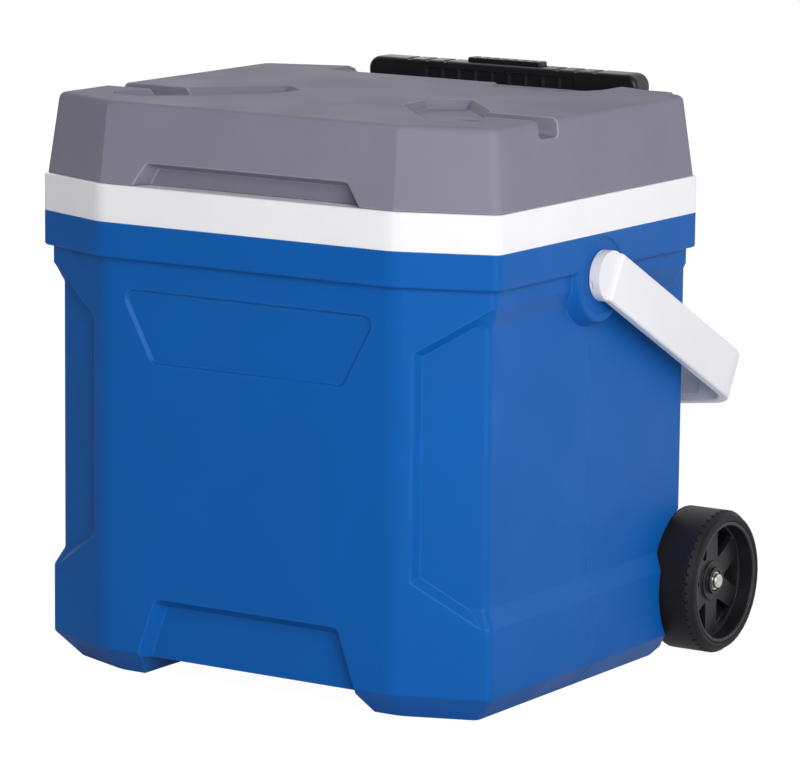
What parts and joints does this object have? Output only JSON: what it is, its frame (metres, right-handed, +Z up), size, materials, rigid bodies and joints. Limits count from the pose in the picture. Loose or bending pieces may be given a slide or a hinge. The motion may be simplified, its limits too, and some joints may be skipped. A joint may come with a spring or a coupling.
{
  "type": "wheeled cooler",
  "caption": "Wheeled insulated cooler: blue tub, hinged grey lid, swing-up bail and telescopic tow handle.",
  "frame": {"origin": "on the floor, under the middle of the whole cooler's bounding box at rest", "axes": "+Z up, +X to the right of someone facing the front, +Y towards the wheels and tow handle"},
  "size_m": [0.407, 0.3692, 0.4085],
  "materials": {
    "shell_blue": "fine-grained blue polyethylene",
    "liner_white": "smooth white polyethylene",
    "foam_cream": "rigid polyurethane foam",
    "lid_grey": "fine-grained warm grey polyethylene",
    "bail_white": "smooth white polypropylene",
    "black_plastic": "black polypropylene",
    "tread_black": "matt black tread",
    "black_tube": "black powder-coated steel",
    "bright_tube": "satin anodised",
    "zinc_steel": "zinc plated"
  },
  "bodies": {
    "body": {"outer_shell": "shell_blue", "inner_liner": "liner_white", "wall_foam": "foam_cream", "bail_bushings": "bail_white", "hinge_brackets": "black_plastic", "hinge_pins": "zinc_steel", "hinge_screws": "zinc_steel", "axle": "zinc_steel", "axle_carrier": "black_plastic", "axle_caps": "zinc_steel", "wheel_washers": "zinc_steel", "carrier_screws": "zinc_steel", "tow_bracket": "black_plastic", "tow_bracket_screws": "zinc_steel", "tow_outer_tubes": "black_tube", "tow_outer_collars": "black_plastic"},
    "lid": {"lid_shell": "lid_grey", "lid_liner": "liner_white", "lid_foam": "foam_cream"},
    "bail": {"bail_handle": "bail_white", "bail_retainers": "bail_white"},
    "wheel_left": {"wheel_rim_left": "black_plastic", "wheel_tyre_left": "tread_black"},
    "wheel_right": {"wheel_rim_right": "black_plastic", "wheel_tyre_right": "tread_black"},
    "tow_middle": {"tow_middle_tubes": "bright_tube", "tow_middle_collars": "black_plastic", "tow_middle_glides": "black_plastic"},
    "tow_inner": {"tow_inner_tubes": "bright_tube", "tow_inner_glides": "black_plastic", "lock_pins": "zinc_steel", "grip_front": "black_plastic", "grip_rear": "black_plastic", "grip_screws": "zinc_steel", "button_spring": "zinc_steel"},
    "release_button": {"release_button": "black_plastic", "release_yoke": "black_plastic"}
  },
  "joints": [
    {"name": "lid_hinge", "type": "hinge", "parent": "body", "child": "lid", "pos_m": [0, 0.13037, 0.392], "axis": [-1, 0, 0], "range_deg": [0, 90]},
    {"name": "bail_swing", "type": "hinge", "parent": "body", "child": "bail", "pos_m": [0, -0.02513, 0.288], "axis": [1, 0, 0], "range_deg": [0, 236.4]},
    {"name": "wheel_left_spin", "type": "hinge", "parent": "body", "child": "wheel_left", "pos_m": [-0.1835, 0.12687, 0.051], "axis": [1, 0, 0], "continuous": true},
    {"name": "wheel_right_spin", "type": "hinge", "parent": "body", "child": "wheel_right", "pos_m": [0.1835, 0.12687, 0.051], "axis": [1, 0, 0], "continuous": true},
    {"name": "tow_lower_slide", "type": "slide", "parent": "body", "child": "tow_middle", "axis": [0, 0, 1], "range_m": [0, 0.235]},
    {"name": "tow_upper_slide", "type": "slide", "parent": "tow_middle", "child": "tow_inner", "axis": [0, 0, 1], "range_m": [0, 0.235]},
    {"name": "release_press", "type": "slide", "parent": "tow_inner", "child": "release_button", "axis": [0, 0, -1], "range_m": [0, 0.003], "stiffness_N_per_m": 400, "springref_m": -0.003, "deforming": ["button_spring"]}
  ]
}
